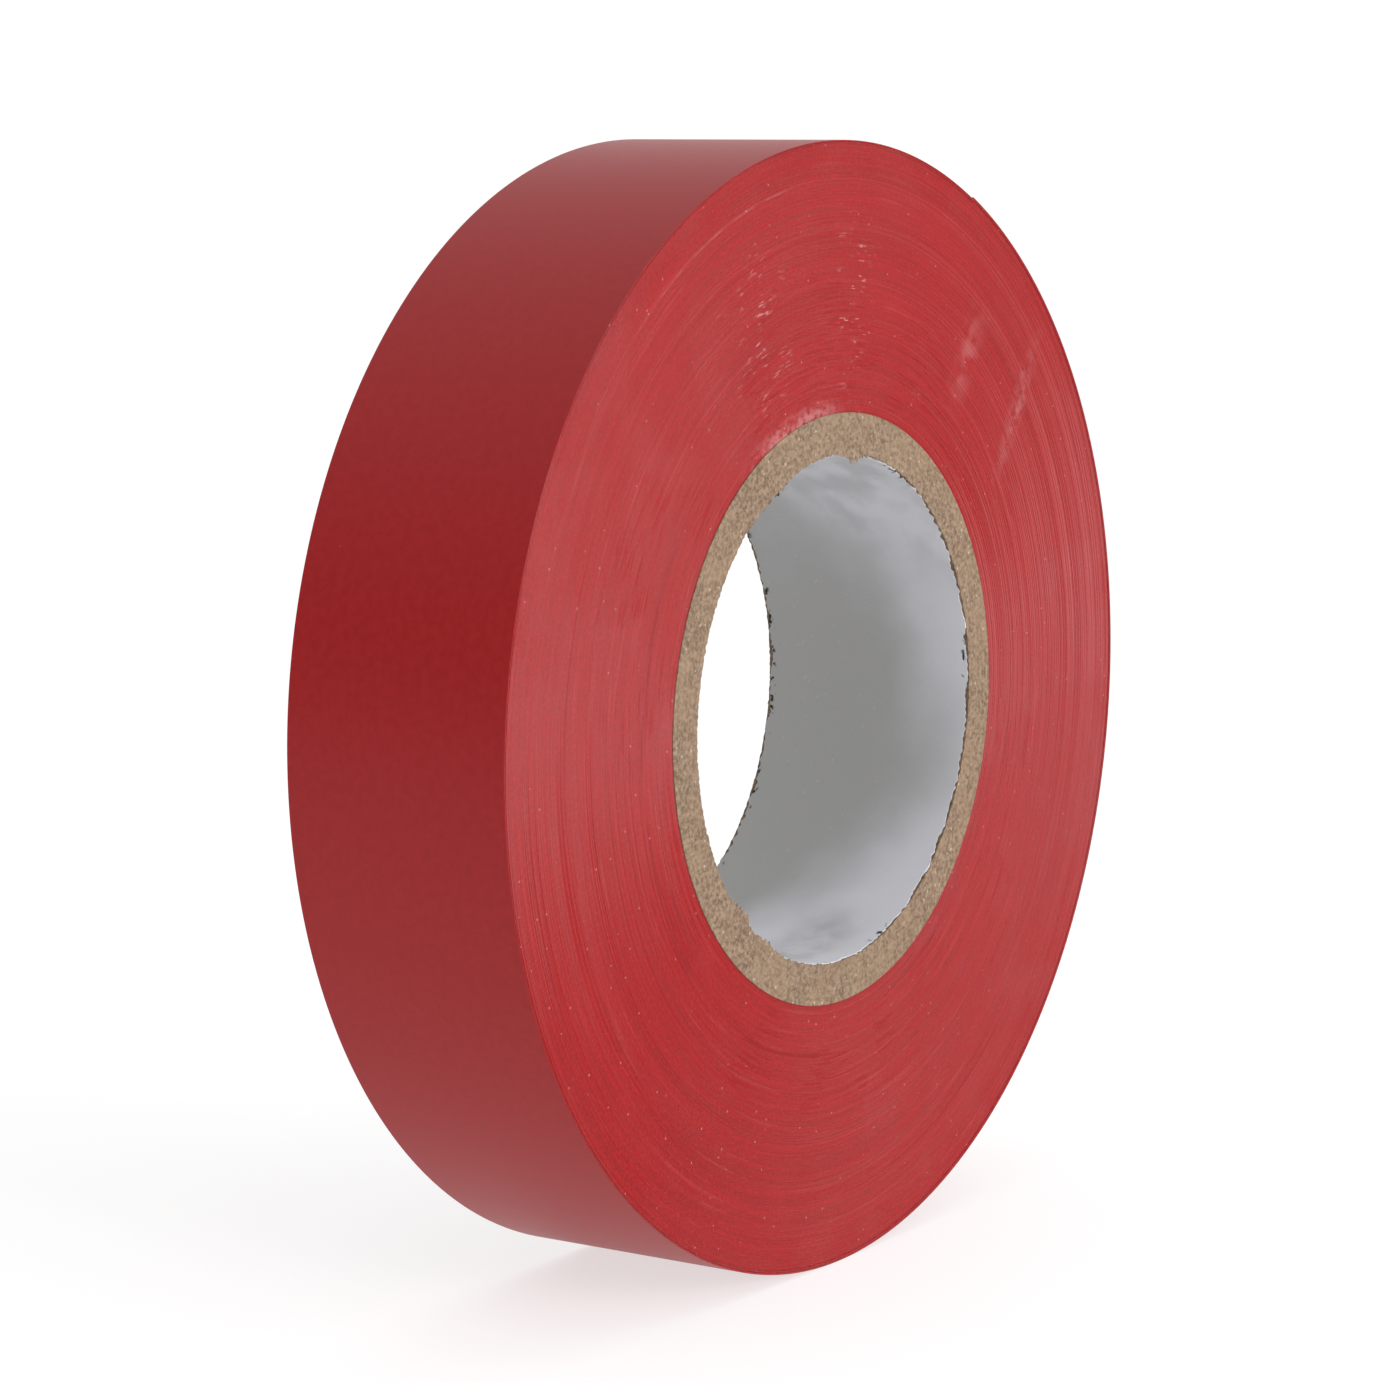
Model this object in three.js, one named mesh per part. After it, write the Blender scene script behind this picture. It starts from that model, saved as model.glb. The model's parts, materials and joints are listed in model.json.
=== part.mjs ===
// Electrical tape roll: soft PVC tape wound on a spirally wound cardboard core whose bore is lined with
// paper. The roll stands on its rim, and the free end of the tape peels off as a chain of hinged links.
// Millimetres, +Z up. The origin is on the surface under the roll, midway across its width. The roll's axis
// runs along Y, and seen from -Y the tape runs clockwise from its free end into the winding.

import * as THREE from "three";

// ---- Driving dimensions ----
const TAPE_WIDTH = 19;
const ROLL_RADIUS = 43.3;
const FILM = 0.13; // PVC backing and adhesive together
const AIR = 0.02; // clearance between two layers that touch on the real roll

const CORE_RADIUS = 22.65;
const BORE_RADIUS = 19.45;
const LINER_THICKNESS = 0.12;
const LINER_INSET = 0.5; // the paper stops short of the core's two cut ends
const PLY_COUNT = 6;
const SEAM_GAP = 0.3; // open butt seam between a ply's two edges
const SEAM_SPAN = 72; // degrees of the core that a seam crosses from one cut end to the other
const SEAM_TIP = 1.5; // degrees by which the ply's two sharp tips are cut short
const SEAM_STAGGER = 102; // degrees from one ply's seam to the next one's

const TAIL_LINKS = 8;
const LINK_SPAN = 6; // degrees of the rim under one link
const HINGE_GAP = 0.3;
const END_ANGLE = 63; // degrees from +X towards +Z at which the tape's free end lies

const FACET = 6; // degrees of one flat facet of every round surface
const FULL_TURN = 360;

// ---- Worked out from the driving dimensions ----
const PITCH = FILM + AIR;
const TAIL_SPAN = TAIL_LINKS * LINK_SPAN;
const GAP_SPAN = THREE.MathUtils.radToDeg(HINGE_GAP / ROLL_RADIUS);
const BOTTOM_BEHIND_END = END_ANGLE + 90; // how far behind the free end the tape passes under the axis
const PLY_PITCH = (CORE_RADIUS - BORE_RADIUS - LINER_THICKNESS) / PLY_COUNT;
const PLY_THICKNESS = PLY_PITCH - AIR;

// ---- Materials ----
const tapeFilm = new THREE.MeshStandardMaterial({ color: 0xa8232b, roughness: 0.42, metalness: 0 });
const coreBoard = new THREE.MeshStandardMaterial({ color: 0x8f7d70, roughness: 0.95, metalness: 0 });
const linerPaper = new THREE.MeshStandardMaterial({ color: 0xb4b4b8, roughness: 0.85, metalness: 0 });

function named(name, geometry, material) {
  const mesh = new THREE.Mesh(geometry, material);
  mesh.name = name;
  return mesh;
}

// A point at a radius and an angle, in degrees from +X towards +Z, in the plane of X and Z.
function polar(radius, degrees) {
  const angle = THREE.MathUtils.degToRad(degrees);
  return new THREE.Vector2(radius * Math.cos(angle), radius * Math.sin(angle));
}

// A point anywhere along a faceted line, so that a piece cut between two corners keeps the flat facets.
function alongFacets(cornerAt, place) {
  const start = Math.floor(place / FACET) * FACET;
  return cornerAt(start).lerp(cornerAt(start + FACET), (place - start) / FACET);
}

// The corners of a faceted line between two places, with the two places themselves as its ends.
function facetPlaces(from, to) {
  const places = [from];
  for (let place = Math.floor(from / FACET) * FACET + FACET; place < to; place += FACET) places.push(place);
  places.push(to);
  return places;
}

// Extrudes an outline drawn in the plane of X and Z across the tape's width.
function acrossWidth(shape) {
  const geometry = new THREE.ExtrudeGeometry(shape, { depth: TAPE_WIDTH, bevelEnabled: false });
  geometry.rotateX(Math.PI / 2);
  geometry.translate(0, TAPE_WIDTH / 2, 0);
  return geometry;
}

// ---- The tape ----
// A point of the spiral, some degrees behind the free end and some depth under the tape's outer face.
function spiralPoint(behind, depth) {
  const cornerAt = (place) => polar(ROLL_RADIUS - (PITCH * place) / FULL_TURN - depth, END_ANGLE - place);
  return alongFacets(cornerAt, behind);
}

// The stretch of tape between two places given in degrees behind the free end.
function tapeStretch(from, to) {
  const places = facetPlaces(from, to);
  const outer = places.map((place) => spiralPoint(place, 0));
  const inner = places.map((place) => spiralPoint(place, FILM));
  return acrossWidth(new THREE.Shape([...outer, ...inner.reverse()]));
}

// All the turns under the outermost one, with the step where that turn comes up from them.
function winding() {
  const secondTurn = facetPlaces(FULL_TURN, 2 * FULL_TURN);
  const shape = new THREE.Shape(secondTurn.map((place) => spiralPoint(place, 0)));
  const around = facetPlaces(0, FULL_TURN - FACET);
  shape.holes.push(new THREE.Path(around.map((angle) => polar(CORE_RADIUS + AIR, angle))));
  return named("tape_winding", acrossWidth(shape), tapeFilm);
}

function outerTurn() {
  const stretch = tapeStretch(TAIL_SPAN + GAP_SPAN / 2, FULL_TURN - GAP_SPAN);
  return named("tape_outer_turn", stretch, tapeFilm);
}

// The free end: the first link hangs on the outer turn, and each other link on the one before it.
function tail() {
  const chain = new THREE.Group();
  let carrier = chain;
  let lastHinge = new THREE.Vector2();
  for (let link = 1; link <= TAIL_LINKS; link++) {
    const root = TAIL_SPAN - (link - 1) * LINK_SPAN;
    const tipGap = link === TAIL_LINKS ? 0 : GAP_SPAN / 2;
    const hinge = spiralPoint(root, FILM / 2);
    const geometry = tapeStretch(root - LINK_SPAN + tipGap, root - GAP_SPAN / 2);
    geometry.translate(-hinge.x, 0, -hinge.y);
    const pivot = new THREE.Group();
    pivot.position.set(hinge.x - lastHinge.x, 0, hinge.y - lastHinge.y);
    pivot.add(named(`tape_tail_${link}`, geometry, tapeFilm));
    carrier.add(pivot);
    carrier = pivot;
    lastHinge = hinge;
  }
  return chain;
}

// ---- The core ----
// The paper lining is a plain ring, turned on the roll's axis.
function liner() {
  const reach = TAPE_WIDTH / 2 - LINER_INSET;
  const outerRadius = BORE_RADIUS + LINER_THICKNESS;
  const profile = [
    new THREE.Vector2(BORE_RADIUS, -reach),
    new THREE.Vector2(outerRadius, -reach),
    new THREE.Vector2(outerRadius, reach),
    new THREE.Vector2(BORE_RADIUS, reach),
    new THREE.Vector2(BORE_RADIUS, -reach),
  ];
  return named("core_liner", new THREE.LatheGeometry(profile, FULL_TURN / FACET), linerPaper);
}

// A strip of board rolled once round the core. Its two edges slant across the core's width and meet in an
// open butt seam, so the strip is narrow at its start, full in its middle and narrow again at its end.
function ply(name, innerRadius, startAngle) {
  const places = facetPlaces(SEAM_TIP, FULL_TURN + SEAM_SPAN - SEAM_TIP);
  const slope = TAPE_WIDTH / SEAM_SPAN;
  const geometry = new THREE.BoxGeometry(PLY_THICKNESS, 1, 1, 1, 1, places.length - 1);
  const corners = geometry.attributes.position;
  for (let i = 0; i < corners.count; i++) {
    const place = places[Math.round((corners.getZ(i) + 0.5) * (places.length - 1))];
    const radius = innerRadius + PLY_THICKNESS / 2 + corners.getX(i);
    const low = Math.max(0, (place - FULL_TURN) * slope + SEAM_GAP / 2);
    const high = Math.min(TAPE_WIDTH, place * slope - SEAM_GAP / 2);
    const point = alongFacets((angle) => polar(radius, startAngle + angle), place);
    corners.setXYZ(i, point.x, (corners.getY(i) > 0 ? high : low) - TAPE_WIDTH / 2, point.y);
  }
  return named(name, geometry, coreBoard);
}

function core() {
  const layers = new THREE.Group();
  layers.add(liner());
  const firstRadius = BORE_RADIUS + LINER_THICKNESS + AIR;
  for (let layer = 0; layer < PLY_COUNT; layer++) {
    layers.add(ply(`core_ply_${layer + 1}`, firstRadius + layer * PLY_PITCH, layer * SEAM_STAGGER));
  }
  return layers;
}

// ---- The roll, standing on one facet of its rim ----
const roll = new THREE.Group();
roll.position.z = -spiralPoint(BOTTOM_BEHIND_END, 0).y;
roll.add(core(), winding(), outerTurn(), tail());

export default roll;
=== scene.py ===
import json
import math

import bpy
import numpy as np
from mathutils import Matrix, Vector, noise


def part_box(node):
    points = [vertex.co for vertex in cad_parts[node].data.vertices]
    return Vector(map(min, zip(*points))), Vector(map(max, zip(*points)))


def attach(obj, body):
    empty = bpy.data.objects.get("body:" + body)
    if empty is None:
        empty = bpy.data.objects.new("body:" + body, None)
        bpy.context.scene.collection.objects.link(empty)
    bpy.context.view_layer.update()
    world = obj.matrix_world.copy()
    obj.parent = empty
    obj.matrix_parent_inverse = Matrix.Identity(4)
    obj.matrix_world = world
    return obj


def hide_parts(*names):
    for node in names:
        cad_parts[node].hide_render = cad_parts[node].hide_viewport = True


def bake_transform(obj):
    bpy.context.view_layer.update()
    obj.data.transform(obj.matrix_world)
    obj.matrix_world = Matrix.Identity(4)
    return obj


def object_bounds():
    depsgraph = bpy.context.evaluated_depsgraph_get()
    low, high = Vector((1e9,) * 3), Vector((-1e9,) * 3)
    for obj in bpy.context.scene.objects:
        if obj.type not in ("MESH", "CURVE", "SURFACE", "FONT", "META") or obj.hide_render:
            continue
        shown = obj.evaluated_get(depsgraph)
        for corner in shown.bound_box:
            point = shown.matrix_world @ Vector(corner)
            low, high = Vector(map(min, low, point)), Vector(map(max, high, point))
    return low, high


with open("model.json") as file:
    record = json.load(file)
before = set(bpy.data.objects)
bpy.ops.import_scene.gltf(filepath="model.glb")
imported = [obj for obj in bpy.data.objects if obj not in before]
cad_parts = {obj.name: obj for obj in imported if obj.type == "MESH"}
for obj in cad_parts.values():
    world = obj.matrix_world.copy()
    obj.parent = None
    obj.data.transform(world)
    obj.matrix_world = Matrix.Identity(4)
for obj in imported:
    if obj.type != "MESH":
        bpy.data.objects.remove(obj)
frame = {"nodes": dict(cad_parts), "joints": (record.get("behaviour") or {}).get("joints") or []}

# Electrical tape roll: the looks of soft PVC tape wound on a paper-lined cardboard core.
# Metres, +Z up. The roll's axis runs along Y, and directions from it are angles from +X towards +Z.
# Seen from -Y the tape runs clockwise from its free end into the winding, and a place on it is given
# in turns behind the free end.

MM = 0.001
TURN = 2 * math.pi
SEED = 7

# ---- Sizes from the frame ----
cad_low, cad_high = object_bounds()
liner_low, liner_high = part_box("core_liner")
PLY_COUNT = sum(name.startswith("core_ply_") for name in frame["nodes"])
AXIS_HEIGHT = (liner_low.z + liner_high.z) / 2
HALF_WIDTH = cad_high.y
hinges = [Vector(joint["pos_m"]) for joint in frame["joints"]]
hinge_angles = [math.atan2(hinge.z - AXIS_HEIGHT, hinge.x) for hinge in hinges]
LINK_SPAN = hinge_angles[1] - hinge_angles[0]
FREE_END_ANGLE = hinge_angles[0] + len(hinges) * LINK_SPAN
ROOT_TURNS = (FREE_END_ANGLE - hinge_angles[0] + LINK_SPAN / 2) / TURN
BOTTOM_TURNS = (FREE_END_ANGLE + math.pi / 2) / TURN

# ---- Sizes chosen here ----
FILM = 0.14 * MM
FILM_ROUNDING = 0.045 * MM
LOOSE_PITCH = 0.15 * MM  # from one turn to the next in the outermost turns
LOOSE_TURNS = 2
WOUND_TURNS = 156
BAND_COUNT = 3
SLACK = 0.003 * MM  # between two pieces that touch on the real roll


def ring_radius(node):
    """The outer radius of a ring-shaped CAD node."""
    low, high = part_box(node)
    return (high.x - low.x) / 2


CORE_RADIUS = ring_radius(f"core_ply_{PLY_COUNT}")
LINER_RADIUS = ring_radius("core_liner")


# ---- The tape's spiral ----
def rim_radius(turns):
    """The radius of the tape's outer face in its loose turns. The roll stands on it at BOTTOM_TURNS."""
    return AXIS_HEIGHT + LOOSE_PITCH * (BOTTOM_TURNS - turns)


RIM_RADIUS = rim_radius(0)
WOUND_START = rim_radius(LOOSE_TURNS)
WOUND_PITCH = (WOUND_START - CORE_RADIUS - 2 * SLACK) / WOUND_TURNS


def around_axis(radius, angle, y):
    """Points at a radius and an angle about the roll's axis, as an array of x, y, z."""
    radius, angle, y = np.broadcast_arrays(radius, angle, y)
    return np.stack([radius * np.cos(angle), y, AXIS_HEIGHT + radius * np.sin(angle)], axis=-1)


def smooth_random(random, count, spacing):
    """Random values from -1 to 1 at each of count places, smooth over a number of places."""
    knots = random.uniform(-1, 1, int(count / spacing) + 3)
    places = np.arange(count) / spacing
    left = places.astype(int)
    share = places - left
    share = share * share * (3 - 2 * share)
    return knots[left] * (1 - share) + knots[left + 1] * share


# ---- Mesh building ----
def make_mesh(name, points, faces, materials, face_materials=None, sharp_degrees=40):
    """A smooth-shaded object in the scene, with sharp edges past an angle."""
    mesh = bpy.data.meshes.new(name)
    mesh.from_pydata(np.asarray(points).reshape(-1, 3), [], faces)
    for material in materials:
        mesh.materials.append(material)
    if face_materials is not None:
        mesh.polygons.foreach_set("material_index", np.asarray(face_materials, np.int32))
    mesh.polygons.foreach_set("use_smooth", np.ones(len(mesh.polygons), bool))
    mesh.set_sharp_from_angle(angle=math.radians(sharp_degrees))
    mesh.update()
    piece = bpy.data.objects.new(name, mesh)
    bpy.context.scene.collection.objects.link(piece)
    return piece


def skin(rows, closed):
    """Faces over rows of points that each go once round a closed outline, with end faces on an open skin.
    The faces look outwards when each row's outline turns clockwise about the way ahead."""
    row_count, size = rows.shape[:2]
    index = np.arange(row_count * size).reshape(row_count, size)
    ahead = np.roll(index, -1, axis=0) if closed else index[1:]
    here = index if closed else index[:-1]
    quads = np.stack([here, np.roll(here, -1, axis=1), np.roll(ahead, -1, axis=1), ahead], axis=-1)
    faces = quads.reshape(-1, 4).tolist()
    if not closed:
        faces.append(index[0, ::-1].tolist())
        faces.append(index[-1].tolist())
    return faces


# ---- Shader building ----
def add_node(tree, kind, inputs=None, **settings):
    """Adds a shader node, sets its options, and fills its inputs with values or other nodes' outputs."""
    node = tree.nodes.new("ShaderNode" + kind)
    for option, value in settings.items():
        setattr(node, option, value)
    for name, value in (inputs or {}).items():
        fill_socket(tree, node.inputs[name], value)
    return node


def fill_socket(tree, socket, value):
    """Sets a socket to a value, or links another node's output to it."""
    if isinstance(value, bpy.types.NodeSocket):
        tree.links.new(value, socket)
    else:
        socket.default_value = value


def math_node(tree, operation, *values):
    return add_node(tree, "Math", dict(enumerate(values)), operation=operation).outputs[0]


def product(tree, first, *others):
    for other in others:
        first = math_node(tree, "MULTIPLY", first, other)
    return first


def highest(tree, first, *others):
    for other in others:
        first = math_node(tree, "MAXIMUM", first, other)
    return first


def ramp(tree, value, low, high, to_low=0.0, to_high=1.0):
    """The value's place between low and high, as a number from to_low to to_high."""
    inputs = {"Value": value, "From Min": low, "From Max": high, "To Min": to_low, "To Max": to_high}
    return add_node(tree, "MapRange", inputs, interpolation_type="SMOOTHSTEP").outputs[0]


def bell(tree, value, centre, reach):
    """1 where the value is at the centre, falling to 0 at reach away from it."""
    away = math_node(tree, "ABSOLUTE", math_node(tree, "SUBTRACT", value, centre))
    return ramp(tree, away, 0, reach, 1, 0)


def colour(red, green, blue):
    return (red, green, blue, 1)


def mix_colours(tree, share, first, second):
    """The first colour, turning into the second as the share goes from 0 to 1."""
    inputs = {0: share, 6: first, 7: second}
    return add_node(tree, "Mix", data_type="RGBA", inputs=inputs).outputs[2]


def paint_over(tree, base, *layers):
    """Mixes colours over a base in turn. Each layer is a share and a colour."""
    for share, paint in layers:
        base = mix_colours(tree, share, base, paint)
    return base


def noise_value(tree, vector, scale, detail=2, roughness=0.5):
    inputs = {"Vector": vector, "Scale": scale, "Detail": detail, "Roughness": roughness}
    return add_node(tree, "TexNoise", inputs).outputs[0]


def dust(tree, vector, spacing, size, share):
    """Specks of a size, one to each cell of a spacing, in a share of the cells."""
    cells = add_node(tree, "TexVoronoi", {"Vector": vector, "Scale": 1 / spacing}).outputs
    number = add_node(tree, "SeparateColor", {0: cells["Color"]}).outputs[0]
    near = ramp(tree, cells["Distance"], 0.5 * size / spacing, size / spacing, 1, 0)
    return math_node(tree, "MULTIPLY", near, math_node(tree, "LESS_THAN", number, share))


def roll_place(tree):
    """A point's place on the roll, from the middle of its axis: the place itself as a vector, its x, y
    and z, its distance from the axis, and its direction from the axis."""
    place = add_node(tree, "TexCoord").outputs["Object"]
    parts = add_node(tree, "SeparateXYZ", {0: place}).outputs
    height = math_node(tree, "SUBTRACT", parts[2], AXIS_HEIGHT)
    spoke = add_node(tree, "CombineXYZ", {0: parts[0], 2: height}).outputs[0]
    return {
        "place": place,
        "x": parts[0],
        "y": parts[1],
        "z": height,
        "radius": add_node(tree, "VectorMath", {0: spoke}, operation="LENGTH").outputs["Value"],
        "direction": add_node(tree, "VectorMath", {0: spoke}, operation="NORMALIZE").outputs[0],
    }


def sector(tree, at, degrees, half_width):
    """1 in a direction from the axis, falling to 0 at the half width, both in degrees."""
    angle = math.radians(degrees)
    middle = (math.cos(angle), 0, math.sin(angle))
    inputs = {0: at["direction"], 1: middle}
    towards = add_node(tree, "VectorMath", inputs, operation="DOT_PRODUCT").outputs["Value"]
    return ramp(tree, towards, math.cos(math.radians(half_width)), 1)


def arcs(tree, at, length, thickness, detail=2):
    """Noise drawn out into arcs round the axis, of a length and a thickness."""
    x = math_node(tree, "DIVIDE", at["x"], length)
    z = math_node(tree, "DIVIDE", at["z"], length)
    side = math_node(tree, "MULTIPLY", at["y"], 3 / length)
    depth = math_node(tree, "ADD", math_node(tree, "DIVIDE", at["radius"], thickness), side)
    vector = add_node(tree, "CombineXYZ", {0: x, 1: z, 2: depth}).outputs[0]
    return noise_value(tree, vector, 1, detail)


def bump(tree, height, distance, strength):
    inputs = {"Height": height, "Distance": distance, "Strength": strength}
    return add_node(tree, "Bump", inputs).outputs[0]


def new_material(name):
    material = bpy.data.materials.new(name)
    material.use_nodes = True
    tree = material.node_tree
    return material, tree, tree.nodes["Principled BSDF"]


def set_shader(tree, shader, **inputs):
    """Fills the shader's inputs, which are named with _ for each space."""
    for name, value in inputs.items():
        fill_socket(tree, shader.inputs[name.replace("_", " ")], value)


# ---- The film's materials ----
def film_face():
    """The tape's smooth satin outer face, which is laid out along the tape."""
    material, tree, shader = new_material("film_face")
    place = add_node(tree, "UVMap", uv_map="tape").outputs[0]
    mottling = noise_value(tree, place, 1400, detail=4, roughness=0.65)
    grain = noise_value(tree, place, 1800, detail=3)
    specks = dust(tree, place, spacing=3 * MM, size=0.12 * MM, share=0.35)
    red = paint_over(
        tree,
        colour(0.285, 0.005, 0.006),
        (ramp(tree, mottling, 0.3, 0.7), colour(0.325, 0.008, 0.010)),
        (product(tree, specks, 0.35), colour(0.5, 0.2, 0.18)),
    )
    set_shader(
        tree,
        shader,
        Base_Color=red,
        Roughness=ramp(tree, mottling, 0.3, 0.7, 0.39, 0.42),
        Specular_IOR_Level=0.25,
        Normal=bump(tree, grain, 0.01 * MM, 0.25),
    )
    return material


def film_underside():
    """The adhesive on the tape's inner face."""
    material, tree, shader = new_material("film_underside")
    place = add_node(tree, "UVMap", uv_map="tape").outputs[0]
    streaks = noise_value(tree, place, 500, detail=4)
    red = mix_colours(tree, streaks, colour(0.20, 0.006, 0.008), colour(0.27, 0.012, 0.014))
    set_shader(
        tree,
        shader,
        Base_Color=red,
        Roughness=ramp(tree, streaks, 0.3, 0.7, 0.2, 0.4),
        Specular_IOR_Level=0.4,
        Normal=bump(tree, streaks, 0.02 * MM, 0.5),
    )
    return material


# ---- Marks on the roll's side ----
PALE_RED = colour(0.42, 0.07, 0.07)
DARK_RING_STRENGTH = 0.55


def slanted(tree, at, degrees):
    """A point's place along a direction on the roll's side, and across it."""
    cosine = math.cos(math.radians(degrees))
    sine = math.sin(math.radians(degrees))

    def turned(x_share, z_share):
        x = math_node(tree, "MULTIPLY", at["x"], x_share)
        z = math_node(tree, "MULTIPLY", at["z"], z_share)
        return math_node(tree, "ADD", x, z)

    return turned(cosine, sine), turned(-sine, cosine)


def smears(tree, at, grain, blotches):
    """Two pale smears beside each other, of which the inner one is broader and softer."""
    along, across = slanted(tree, at, 60)
    middle = 32 * MM
    inner_band = bell(tree, across, -3.2 * MM, 2.2 * MM)
    inner = product(tree, inner_band, bell(tree, along, middle, 6 * MM), blotches, 0.2)
    outer_band = bell(tree, across, -12.5 * MM, 1.5 * MM)
    outer = product(tree, outer_band, bell(tree, along, middle, 9 * MM), grain, 0.25)
    return highest(tree, inner, outer)


def painted_glints(tree, at):
    """Painted glints: short pale strokes round the axis in two columns over the bore, of which the upright
    one is stronger.
    """
    dashes = ramp(tree, arcs(tree, at, 1.1 * MM, 0.22 * MM), 0.58, 0.68)
    clusters = ramp(tree, noise_value(tree, at["place"], 420), 0.45, 0.6)
    upright = sector(tree, at, 87, 5)
    leaning = product(tree, sector(tree, at, 112, 10), 0.6)
    middle = bell(tree, at["radius"], 31 * MM, 9 * MM)
    return product(tree, dashes, clusters, highest(tree, upright, leaning), middle)


def scuffs_and_glints(tree, at):
    """Pale marks on the side that faces -Y: smears, painted glints in short strokes, a patch rubbed against
    the core, and a thin line close to the rim."""
    front = ramp(tree, at["y"], -9 * MM, -8 * MM, 1, 0)
    grain = ramp(tree, noise_value(tree, at["place"], 1300, detail=4, roughness=0.7), 0.40, 0.62)
    blotches = ramp(tree, noise_value(tree, at["place"], 700, detail=3), 0.35, 0.65)
    beside_core = bell(tree, at["radius"], CORE_RADIUS, 1.6 * MM)
    rubbed = product(tree, beside_core, sector(tree, at, 107, 20), grain, 0.5)
    near_rim = bell(tree, at["radius"], RIM_RADIUS - 3.1 * MM, 0.14 * MM)
    line = product(tree, near_rim, sector(tree, at, 114, 22), blotches, 0.22)
    # The short strokes among these marks are painted glints.
    marks = highest(tree, line, smears(tree, at, grain, blotches), painted_glints(tree, at), rubbed)
    return math_node(tree, "MULTIPLY", marks, front)


def dull_streaks(tree, at):
    """Dull streaks round the axis, in groups, and stronger towards the core."""
    streaks = ramp(tree, arcs(tree, at, 4 * MM, 0.25 * MM, detail=3), 0.5, 0.6)
    groups = ramp(tree, noise_value(tree, at["place"], 140, detail=3), 0.46, 0.6)
    towards_core = ramp(tree, at["radius"], 26 * MM, 38 * MM, 1, 0.25)
    return product(tree, streaks, groups, towards_core)


def dark_ring(tree, at, broad_rings):
    """A streaky dark ring part of the way round the core, whose radius wanders a little."""
    wander = math_node(tree, "MULTIPLY", math_node(tree, "SUBTRACT", broad_rings, 0.5), 1.6 * MM)
    wandering_radius = math_node(tree, "ADD", at["radius"], wander)
    ring = bell(tree, wandering_radius, CORE_RADIUS + 3.8 * MM, 0.8 * MM)
    streaks = ramp(tree, arcs(tree, at, 6 * MM, 0.35 * MM, detail=3), 0.42, 0.6)
    return product(tree, ring, sector(tree, at, 218, 85), streaks, DARK_RING_STRENGTH)


def ringed_red(tree, at, fine_rings, broad_rings, clouds):
    """The side's red without its marks: rings of a few widths, mottling, and a pale haze inside the rim."""
    pale_rings = ramp(tree, arcs(tree, at, 12 * MM, 0.35 * MM, detail=3), 0.6, 0.7)
    mottling = noise_value(tree, at["place"], 3600, detail=3, roughness=0.6)
    inside_rim = ramp(tree, at["radius"], RIM_RADIUS - 3 * MM, RIM_RADIUS - 2.4 * MM, 1, 0.2)
    haze = product(tree, ramp(tree, clouds, 0.45, 0.75, 0, 0.08), inside_rim)
    return paint_over(
        tree,
        colour(0.215, 0.001, 0.002),
        (ramp(tree, fine_rings, 0.3, 0.7), colour(0.258, 0.002, 0.003)),
        (ramp(tree, broad_rings, 0.52, 0.68, 0, 0.5), colour(0.20, 0.003, 0.004)),
        (product(tree, pale_rings, 0.15), PALE_RED),
        (ramp(tree, mottling, 0.35, 0.5, 0.6, 0), colour(0.17, 0.003, 0.004)),
        (ramp(tree, mottling, 0.5, 0.7, 0, 0.25), colour(0.42, 0.02, 0.022)),
        (haze, PALE_RED),
    )


def film_edge():
    """The roll's matt side, made of the edges of all the turns."""
    material, tree, shader = new_material("film_edge")
    at = roll_place(tree)
    fine_rings = arcs(tree, at, 14 * MM, 0.16 * MM)
    broad_rings = arcs(tree, at, 25 * MM, 0.9 * MM, detail=4)
    clouds = noise_value(tree, at["place"], 160, detail=5, roughness=0.6)
    # Darker, rougher streaks round the axis.
    dull = dull_streaks(tree, at)
    dark = dark_ring(tree, at, broad_rings)
    # Painted highlight: a pale line along the rim, where the tape's edge catches light.
    painted_rim_highlight = bell(tree, at["radius"], RIM_RADIUS, 0.15 * MM)
    # Painted shadow: a dark line where the tape meets the core.
    painted_core_shadow = bell(tree, at["radius"], CORE_RADIUS, 0.35 * MM)
    specks = dust(tree, at["place"], spacing=1.2 * MM, size=0.11 * MM, share=0.7)
    red = paint_over(
        tree,
        ringed_red(tree, at, fine_rings, broad_rings, clouds),
        (product(tree, dull, 0.12), colour(0.17, 0.001, 0.002)),
        (dark, colour(0.16, 0.001, 0.002)),
        # Painted highlight along the rim.
        (product(tree, painted_rim_highlight, 0.2), colour(0.5, 0.16, 0.15)),
        # Painted shadow against the core.
        (product(tree, painted_core_shadow, 0.6), colour(0.2, 0.001, 0.002)),
        # Pale scuffs, with painted glints among them.
        (scuffs_and_glints(tree, at), colour(0.46, 0.24, 0.24)),
        (product(tree, specks, 0.45), colour(0.55, 0.26, 0.24)),
    )
    roughness = highest(
        tree,
        ramp(tree, clouds, 0.3, 0.7, 0.45, 0.55),
        ramp(tree, dull, 0, 1, 0.4, 0.7),
        ramp(tree, dark, 0, DARK_RING_STRENGTH, 0.4, 0.9),
    )
    set_shader(
        tree,
        shader,
        Base_Color=red,
        Roughness=roughness,
        Specular_IOR_Level=0.36,
        Anisotropic=1.0,
        Anisotropic_Rotation=0.18,
        Tangent=add_node(tree, "Tangent", direction_type="RADIAL", axis="Y").outputs[0],
        Normal=bump(tree, fine_rings, 0.01 * MM, 0.4),
    )
    return material


# ---- The core's materials ----
# Places round the bore where the lining's edge and the board's rim are torn: degrees, half width.
TORN = [(114, 12), (64, 8), (4, 8), (-70, 6), (-103, 13)]
# Painted shadow: the colour of the shade in the gaps between the lining and the board.
GAP_SHADOW = colour(0.03, 0.024, 0.02)


def torn_places(tree, at):
    return highest(tree, *[sector(tree, at, degrees, half_width) for degrees, half_width in TORN])


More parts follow.
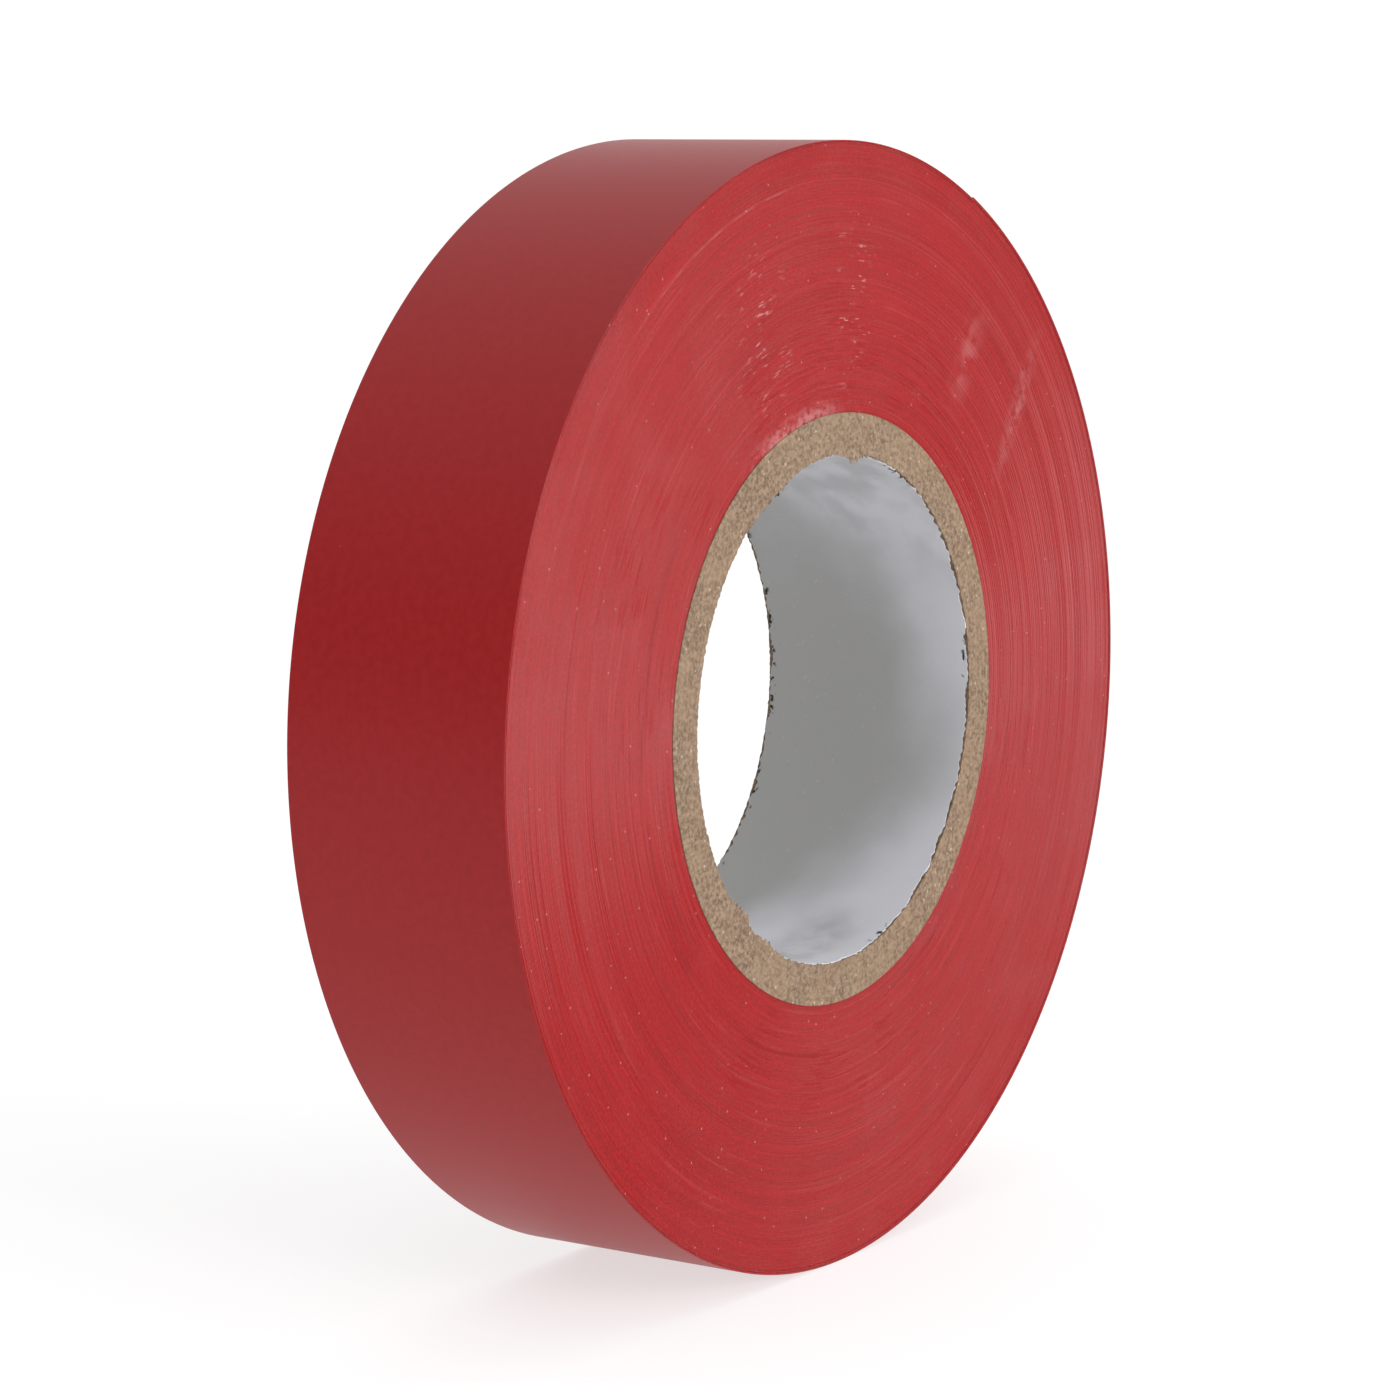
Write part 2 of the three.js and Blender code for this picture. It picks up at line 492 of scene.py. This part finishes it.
def board():
    """Grey-brown board with pale and dark fibres, and painted shadow in slits where its rim is torn."""
    material, tree, shader = new_material("core_board")
    at = roll_place(tree)
    pulp = noise_value(tree, at["place"], 3200, detail=5, roughness=0.65)
    patches = noise_value(tree, at["place"], 300, detail=2)
    pale = dust(tree, at["place"], spacing=0.6 * MM, size=0.15 * MM, share=0.2)
    moved = add_node(tree, "VectorMath", {0: at["place"], 1: (1, 1, 1)}).outputs[0]
    dark = dust(tree, moved, spacing=0.7 * MM, size=0.18 * MM, share=0.35)
    rim = ramp(tree, at["radius"], LINER_RADIUS - 0.3 * MM, LINER_RADIUS, 1, 0)
    slit_shadows = ramp(tree, arcs(tree, at, 0.7 * MM, 0.3 * MM), 0.5, 0.56)
    brown = paint_over(
        tree,
        colour(0.108, 0.068, 0.043),
        (ramp(tree, pulp, 0.3, 0.7), colour(0.262, 0.188, 0.130)),
        (ramp(tree, patches, 0.4, 0.7, 0, 0.3), colour(0.26, 0.17, 0.105)),
        (product(tree, pale, 0.45), colour(0.50, 0.42, 0.32)),
        (product(tree, dark, 0.35), colour(0.06, 0.04, 0.028)),
        # Painted shadow in slits at the torn rim.
        (product(tree, rim, slit_shadows, torn_places(tree, at)), GAP_SHADOW),
    )
    set_shader(
        tree,
        shader,
        Base_Color=brown,
        Roughness=ramp(tree, pulp, 0.3, 0.7, 0.85, 1.0),
        Specular_IOR_Level=0.2,
        Normal=bump(tree, pulp, 0.05 * MM, 0.7),
    )
    return material


def painted_bore_shade(tree, at):
    """How much painted shade the lining gets, from 0 to 1. It is lighter towards -Y, -X and +Z, where light
    comes into the bore, and darker deeper in, with a cloudy border.
    """
    clouds = noise_value(tree, at["place"], 120, detail=4, roughness=0.45)
    cloud_reach = math_node(tree, "MULTIPLY", math_node(tree, "SUBTRACT", clouds, 0.5), 11 * MM)
    depth = math_node(tree, "ADD", at["y"], math_node(tree, "MULTIPLY", at["x"], 1.07))
    depth = math_node(tree, "ADD", depth, cloud_reach)
    depth = math_node(tree, "SUBTRACT", depth, math_node(tree, "MULTIPLY", at["z"], 0.22))
    return ramp(tree, depth, 7.5 * MM, 20 * MM)


def edge_gap_shadows(tree, at):
    """Painted shadow in flecks along the lining's edges, in the gaps between paper and board: all along the
    +Y one and at the torn places of both.
    """
    from_middle = math_node(tree, "ABSOLUTE", at["y"])
    edge = ramp(tree, from_middle, HALF_WIDTH - 0.8 * MM, HALF_WIDTH - 0.45 * MM)
    flecks = ramp(tree, noise_value(tree, at["place"], 1700, detail=2), 0.56, 0.61)
    clusters = ramp(tree, noise_value(tree, at["place"], 230), 0.5, 0.56)
    at_back = product(tree, clusters, ramp(tree, at["y"], 0, MM))
    return product(tree, edge, flecks, highest(tree, at_back, torn_places(tree, at)))


def paper():
    """Thin grey-white lining paper, darker in cloudy patches, with painted shade deeper in the bore and
    painted shadow in the gaps at its edges.
    """
    material, tree, shader = new_material("liner_paper")
    at = roll_place(tree)
    patches = ramp(tree, noise_value(tree, at["place"], 260, detail=4), 0.35, 0.65, 0.25, 1)
    upper = ramp(tree, at["z"], 4 * MM, 15 * MM, 0, 0.8)
    lower = product(tree, sector(tree, at, -84, 26), bell(tree, at["y"], -4.5 * MM, 4.5 * MM), 0.8)
    fibres = noise_value(tree, at["place"], 2200, detail=3)
    grey = paint_over(
        tree,
        colour(0.57, 0.57, 0.605),
        # Painted shade: the lining is darker deeper in the bore.
        (painted_bore_shade(tree, at), colour(0.33, 0.328, 0.32)),
        (product(tree, upper, patches), colour(0.37, 0.37, 0.375)),
        (product(tree, lower, patches), colour(0.30, 0.30, 0.30)),
        (ramp(tree, fibres, 0.62, 0.8, 0, 0.2), colour(0.62, 0.62, 0.64)),
        # Painted shadow in the gaps under the lining's edges.
        (edge_gap_shadows(tree, at), GAP_SHADOW),
    )
    set_shader(
        tree,
        shader,
        Base_Color=grey,
        Roughness=ramp(tree, fibres, 0.3, 0.7, 0.75, 0.9),
        Specular_IOR_Level=0.3,
        Normal=bump(tree, fibres, 0.02 * MM, 0.4),
    )
    return material


# ---- The tape: loose turns and tail ----
FACE_COLUMNS = 9
FACE, EDGE, UNDERSIDE = 0, 1, 2
LOOSE_STEP = 0.5 / 360  # turns between two rows of points


def film_outline():
    """The outline across the tape as (depth, y) points, and each side's material."""
    reach = HALF_WIDTH - FILM_ROUNDING
    across = np.linspace(reach, -reach, FACE_COLUMNS)
    face = [(0, y) for y in across]
    front = [(FILM_ROUNDING, -HALF_WIDTH), (FILM - FILM_ROUNDING, -HALF_WIDTH)]
    under = [(FILM, y) for y in across[::-1]]
    back = [(FILM - FILM_ROUNDING, HALF_WIDTH), (FILM_ROUNDING, HALF_WIDTH)]
    sides = [FACE] * (FACE_COLUMNS - 1) + [EDGE] * 3 + [UNDERSIDE] * (FACE_COLUMNS - 1) + [EDGE] * 3
    return np.array(face + front + under + back), sides


def film_stretch(name, start, end, materials):
    """A stretch of tape between two places, in turns behind the free end."""
    outline, sides = film_outline()
    turns = np.linspace(start, end, round((end - start) / LOOSE_STEP) + 1)
    depth, y = outline[:, 0], outline[:, 1]
    radius = rim_radius(turns)[:, None] - depth
    rows = around_axis(radius, (FREE_END_ANGLE - turns * TURN)[:, None], y)
    faces = skin(rows, closed=False)
    face_materials = sides * (len(turns) - 1) + [EDGE, EDGE]
    piece = make_mesh(name, rows, faces, materials, face_materials)
    lay_out(piece, np.repeat(turns * TURN * RIM_RADIUS, len(depth)), np.tile(y + depth, len(turns)))
    return piece


def lay_out(piece, along, across):
    """Gives each point its place on the flat tape, in metres, as the texture map named tape."""
    mesh = piece.data
    corners = np.empty(len(mesh.loops), np.int32)
    mesh.loops.foreach_get("vertex_index", corners)
    places = np.stack([along, across], axis=-1)[corners]
    mesh.uv_layers.new(name="tape").data.foreach_set("uv", places.astype(np.float32).ravel())


def loose_turns(materials):
    piece = film_stretch("tape_loose_turns", ROOT_TURNS, LOOSE_TURNS, materials)
    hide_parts("tape_outer_turn")
    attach(piece, "roll")


def tail(materials):
    """One stretch of tape over each hinge, from the middle of one link to the middle of the next. The
    last one runs on to the free end."""
    half_link = LINK_SPAN / 2 / TURN
    for number, (hinge, joint) in enumerate(zip(hinges, frame["joints"]), start=1):
        at_hinge = (len(hinges) - number + 1) * 2 * half_link
        end = 0 if number == len(hinges) else at_hinge - half_link
        piece = film_stretch(f"tape_tail_film_{number}", end, at_hinge + half_link, materials)
        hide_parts(f"tape_tail_{number}")
        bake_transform(piece)


# ---- The tape: wound turns ----
TURN_POINTS = 180
GROOVE_HALF_WIDTH = 0.02 * MM
GROOVE_DEPTH = 0.012 * MM
SIDE_MARGIN = 0.065 * MM  # room for the tape's sideways shift
DRIFT = 0.035 * MM  # the shift's slow part, which takes turns to change
DRIFT_TURNS = 9
WOBBLE = 0.012 * MM
WOBBLE_TURNS = 0.8


def side_offsets(random):
    """How far the tape is shifted across the roll at each point of its wound length."""
    count = WOUND_TURNS * TURN_POINTS + 1
    drift = smooth_random(random, count, TURN_POINTS * DRIFT_TURNS)
    wobble = smooth_random(random, count, TURN_POINTS * WOBBLE_TURNS)
    return DRIFT * drift + WOBBLE * wobble


def wound_band(name, first, last, offsets, material):
    """A closed solid of some whole turns of tape, from the first to the last. Each side is one sheet
    that follows the spiral, with a shallow groove between neighbouring turns."""
    count = (last - first) * TURN_POINTS
    along = np.arange(count + 1)
    turns = first + along / TURN_POINTS
    angle = FREE_END_ANGLE - turns * TURN
    radius = WOUND_START - WOUND_PITCH * turns
    offset = offsets[first * TURN_POINTS : last * TURN_POINTS + 1]
    half = HALF_WIDTH - SIDE_MARGIN
    last_turn = along[-TURN_POINTS:]

    def side(sign):
        flat = sign * half + offset
        sunk = flat - sign * GROOVE_DEPTH
        groove = around_axis(radius, angle, sunk)
        outer = around_axis(radius - GROOVE_HALF_WIDTH, angle, flat)
        inner = around_axis(radius - WOUND_PITCH + GROOVE_HALF_WIDTH, angle, flat)
        bottom_radius = radius[last_turn] - WOUND_PITCH + SLACK
        bottom = around_axis(bottom_radius, angle[last_turn], sunk[last_turn])
        return np.concatenate([groove, outer, inner, bottom])

    size = count + 1
    groove, outer, inner = along, along + size, along + 2 * size
    below = np.concatenate([groove[TURN_POINTS:], 3 * size + np.arange(TURN_POINTS)])

    def sheet(flip, shift):
        strips = [(groove, outer), (outer, inner), (inner, below)]
        quads = [np.stack([a[:-1], b[:-1], b[1:], a[1:]], axis=-1) for a, b in strips]
        quads = np.concatenate(quads) + shift
        return (quads[:, ::-1] if flip else quads).tolist()

    shift = 3 * size + TURN_POINTS
    top = groove[: TURN_POINTS + 1]
    bottom = below[-TURN_POINTS - 1 :]
    walls = [
        np.stack([top[1:], top[1:] + shift, top[:-1] + shift, top[:-1]], axis=-1),
        np.stack([bottom[:-1], bottom[:-1] + shift, bottom[1:] + shift, bottom[1:]], axis=-1),
    ]
    start_edge = [groove[0], outer[0], inner[0], below[0]]
    end_edge = [groove[-1], outer[-1], inner[-1], below[-1]]
    caps = [
        [p + shift for p in start_edge] + start_edge[::-1],
        end_edge + [p + shift for p in end_edge[::-1]],
    ]
    faces = sheet(False, 0) + sheet(True, shift) + np.concatenate(walls).tolist()
    faces += [[int(p) for p in cap] for cap in caps]
    points = np.concatenate([side(-1), side(1)])
    piece = make_mesh(name, points, faces, [material], sharp_degrees=60)
    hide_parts("tape_winding")
    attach(piece, "roll")


def wound_turns(material):
    offsets = side_offsets(np.random.default_rng(SEED))
    turns_each = WOUND_TURNS // BAND_COUNT
    for band in range(BAND_COUNT):
        first = band * turns_each
        wound_band(f"tape_wound_band_{band + 1}", first, first + turns_each, offsets, material)


# ---- The core ----
RING_STEPS = 1200
CHAMFER = 0.015 * MM
LIP = 0.25 * MM  # the fraying tapers off over this length of the bore
END_ROUGHNESS = 0.03 * MM
PAPER = 0.12 * MM
LEAST_INSET = 0.05 * MM
# Stretches of the bore's rim that are frayed inwards: degrees, reach in degrees, height.
FRAYED = [
    (85, 4, 0.55 * MM),
    (119, 8, 0.3 * MM),
    (226, 3.5, 0.6 * MM),
    (238, 4, 0.25 * MM),
]


def noise_round(angle, layer, scale):
    """Smooth noise round the axis. Each layer is another pattern, and a higher scale is finer."""
    return noise.noise(Vector((math.cos(angle), math.sin(angle), layer)) * scale)


def fray(angle):
    """How far the bore's rim is frayed inwards at an angle, most of all in a few stretches."""
    fine = noise_round(angle, 2, 60)
    depth = 0.06 * MM + 0.12 * MM * fine
    for degrees, reach, height in FRAYED:
        away = math.remainder(angle - math.radians(degrees), TURN) / math.radians(reach)
        depth += height * math.exp(-away * away) * (1 + fine)
    return max(depth, 0)


def end_roughness(rows):
    """How far each point of a board's cut end is sunk, from a fine and a coarse noise."""
    points = [Vector(p) for p in rows.reshape(-1, 3)]
    rough = np.array([noise.noise(p * 4000) + noise.noise(p * 1200) for p in points])
    return np.abs(rough.reshape(rows.shape[:-1]) * END_ROUGHNESS)


def board_ring(number, material):
    """One ply: a strip of board rolled once round, with rough cut ends."""
    node = f"core_ply_{number}"
    outer = ring_radius(node)
    inner = ring_radius(f"core_ply_{number - 1}") if number > 1 else LINER_RADIUS
    inner += SLACK
    radial = np.linspace(outer - CHAMFER, inner + CHAMFER, 5)
    rim = HALF_WIDTH - CHAMFER
    lip = rim - LIP
    front = [(r, -HALF_WIDTH) for r in radial]
    inside = [(inner, -rim), (inner, -lip), (inner, lip), (inner, rim)]
    back = [(r, HALF_WIDTH) for r in radial[::-1]]
    outside = [(outer, rim), (outer, -rim)]
    outline = np.array(front + inside + back + outside)
    angle = np.linspace(0, TURN, RING_STEPS, endpoint=False)[:, None]
    radius, y = np.broadcast_arrays(outline[:, 0], outline[:, 1] + 0 * angle)
    if number == 1:
        frayed = np.array([fray(a) for a in angle[:, 0]])[:, None]
        radius = radius - frayed * (radius < inner + 2 * CHAMFER) * (np.abs(y) > lip + SLACK)
    rows = around_axis(radius, angle, y)
    at_end = np.abs(y) > rim - SLACK
    rows[..., 1] -= np.sign(y) * np.where(at_end, end_roughness(rows), 0)
    piece = make_mesh(f"{node}_board", rows, skin(rows, closed=True), [material])
    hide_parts(node)
    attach(piece, "roll")


def lining(material):
    """The thin paper inside the bore, with ragged edges."""
    angle = np.linspace(0, TURN, RING_STEPS, endpoint=False)
    outer = LINER_RADIUS - SLACK
    inner = outer - PAPER
    wave = np.array([noise_round(a, 0, 9) for a in angle])
    rag = np.array([noise_round(a, 5, 45) for a in angle])
    inset = 0.22 * MM + 0.2 * MM * wave + 0.25 * MM * rag
    front = -HALF_WIDTH + np.maximum(inset, LEAST_INSET)
    back = HALF_WIDTH - np.maximum(inset[::-1], LEAST_INSET)
    columns = [(outer, front), (inner, front), (inner, front + 1 * MM), (inner, back - 1 * MM)]
    columns += [(inner, back), (outer, back)]
    rows = np.stack([around_axis(radius, angle, y) for radius, y in columns], axis=1)
    piece = make_mesh("core_lining_paper", rows, skin(rows, closed=True), [material])
    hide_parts("core_liner")
    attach(piece, "roll")


# ---- The setting ----
BACKDROP = (0.828, 0.544, -0.134)  # the direction towards the middle of the backdrop
FLOOR_REACH = 3


def floor():
    material, tree, shader = new_material("floor")
    place = add_node(tree, "TexCoord").outputs["Object"]
    grain = noise_value(tree, place, 30)
    set_shader(
        tree,
        shader,
        Base_Color=mix_colours(tree, grain, colour(0.40, 0.40, 0.40), colour(0.42, 0.42, 0.42)),
        Roughness=0.9,
        Specular_IOR_Level=0.1,
        Emission_Color=colour(1, 1, 1),
        Emission_Strength=0.64,
    )
    far = FLOOR_REACH
    corners = [(-far, -far, 0), (far, -far, 0), (far, far, 0), (-far, far, 0)]
    make_mesh("floor", corners, [[0, 1, 2, 3]], [material])


def surroundings():
    """Soft light from a pale backdrop and ceiling. What is seen of it directly is plain white."""
    world = bpy.data.worlds.new("studio")
    world.use_nodes = True
    tree = world.node_tree
    direction = add_node(tree, "TexCoord").outputs["Generated"]
    inputs = {0: direction, 1: BACKDROP}
    towards = add_node(tree, "VectorMath", inputs, operation="DOT_PRODUCT").outputs["Value"]
    upwards = add_node(tree, "SeparateXYZ", {0: direction}).outputs[2]
    backdrop = ramp(tree, towards, 0.4, 0.95, 0.3, 1.02)
    ceiling = ramp(tree, upwards, 0.1, 0.9, 0.3, 1.0)
    seen = add_node(tree, "LightPath").outputs["Is Camera Ray"]
    background = tree.nodes["Background"]
    background.inputs["Color"].default_value = colour(1, 1, 1)
    tree.links.new(highest(tree, backdrop, ceiling, seen), background.inputs["Strength"])
    bpy.context.scene.world = world
    bpy.context.scene.view_settings.view_transform = "Standard"


def softbox(name, direction, distance, width, height, power):
    """A rectangular lamp in a direction from the middle of the roll, turned towards it."""
    light = bpy.data.lights.new(name, "AREA")
    light.shape = "RECTANGLE"
    light.size, light.size_y = width, height
    light.energy = power
    lamp = bpy.data.objects.new(name, light)
    back = Vector(direction).normalized()
    lamp.location = Vector((0, 0, AXIS_HEIGHT)) + back * distance
    lamp.rotation_mode = "QUATERNION"
    lamp.rotation_quaternion = back.to_track_quat("Z", "Y")
    bpy.context.scene.collection.objects.link(lamp)


def camera():
    azimuth, elevation = math.radians(-56.7), math.radians(7.68)
    distance = 333.5 * MM
    aim_left, aim_up = 3.44 * MM, 0.7 * MM
    flat = math.cos(elevation)
    back = Vector((math.sin(azimuth) * flat, -math.cos(azimuth) * flat, math.sin(elevation)))
    centre = Vector((0, 0, AXIS_HEIGHT))
    data = bpy.data.cameras.new("camera")
    data.lens = 112.1
    data.sensor_width = 36
    data.clip_start = 0.01
    eye = bpy.data.objects.new("camera", data)
    eye.location = centre + back * distance
    right = Vector((0, 0, 1)).cross(back).normalized()
    up = back.cross(right)
    target = centre - right * aim_left + up * aim_up
    eye.rotation_mode = "QUATERNION"
    eye.rotation_quaternion = (eye.location - target).to_track_quat("Z", "Y")
    bpy.context.scene.collection.objects.link(eye)
    bpy.context.scene.camera = eye


# ---- Build ----
tape_materials = [film_face(), film_edge(), film_underside()]
loose_turns(tape_materials)
tail(tape_materials)
wound_turns(tape_materials[EDGE])
board_material = board()
for ply_number in range(1, PLY_COUNT + 1):
    board_ring(ply_number, board_material)
lining(paper())
floor()
surroundings()
softbox("key", direction=(0.2, -0.98, 0.02), distance=0.8, width=1.1, height=0.5, power=13)
softbox("fill", direction=(-0.35, -0.85, 0.4), distance=0.9, width=0.2, height=0.2, power=1)
camera()
